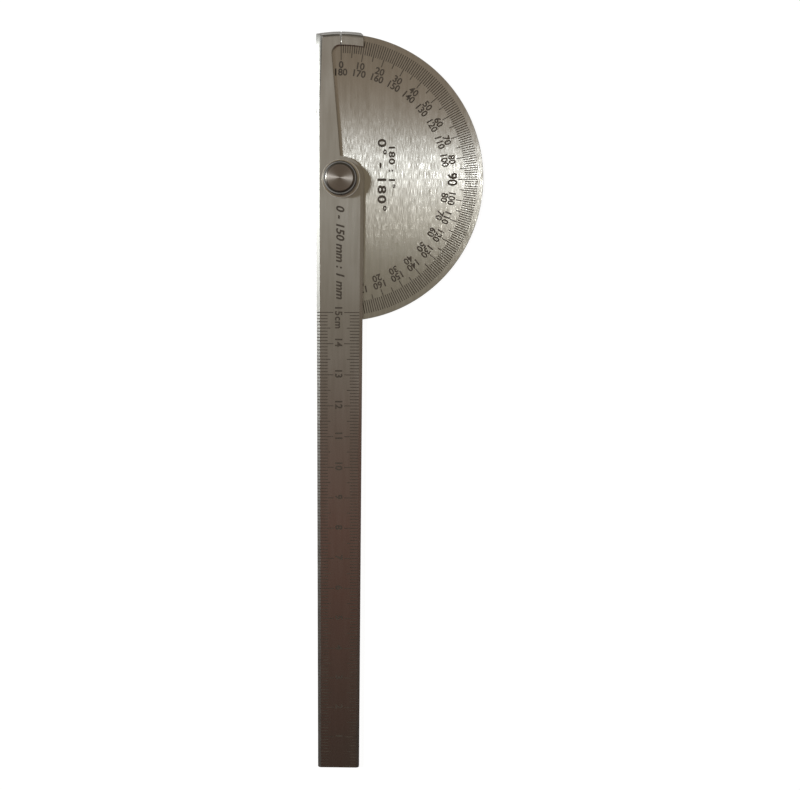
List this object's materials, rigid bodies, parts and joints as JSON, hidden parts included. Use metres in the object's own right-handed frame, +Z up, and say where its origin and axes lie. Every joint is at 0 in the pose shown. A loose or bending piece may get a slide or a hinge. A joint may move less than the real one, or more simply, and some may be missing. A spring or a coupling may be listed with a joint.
{
  "type": "bevel protractor",
  "caption": "Steel bevel protractor with a half-round degree head, a swinging graduated arm with a hooked pointer, and a clamp nut at the pivot.",
  "frame": {"origin": "pivot axis of the arm at the underside of the head, on the flush head of the pivot screw", "axes": "+Z up along the pivot axis, out of the graduated faces; +Y towards the index at its first degree line; the degree arc bulges towards +X; the arm runs along -Y"},
  "size_m": [0.0528, 0.2385, 0.0075],
  "materials": {
    "head_steel": "brushed along the straight edge",
    "arm_steel": "satin, tarnished towards the end",
    "screw_steel": "satin",
    "spring_steel": "satin",
    "washer_steel": "satin",
    "nut_plating": "plated, turned rings on the top face"
  },
  "bodies": {
    "head": {"head_plate": "head_steel", "pivot_screw": "screw_steel"},
    "arm": {"arm": "arm_steel"},
    "washers": {"spring_washer": "spring_steel", "plain_washer": "washer_steel"},
    "nut": {"thumb_nut": "nut_plating"}
  },
  "joints": [
    {"name": "arm_swing", "type": "hinge", "parent": "head", "child": "arm", "pos_m": [0, 0, 0], "axis": [0, 0, -1], "range_deg": [0, 180]},
    {"name": "clamp_lift", "type": "slide", "parent": "head", "child": "washers", "axis": [0, 0, 1], "range_m": [0, 0.0007], "deforming": ["spring_washer"]},
    {"name": "nut_turn", "type": "hinge", "parent": "washers", "child": "nut", "pos_m": [0, 0, 0], "axis": [0, 0, 1], "range_deg": [0, 360]}
  ],
  "couplings": [
    {"joint": "nut_turn", "follows": "clamp_lift", "rad_per_m": 8975}
  ]
}
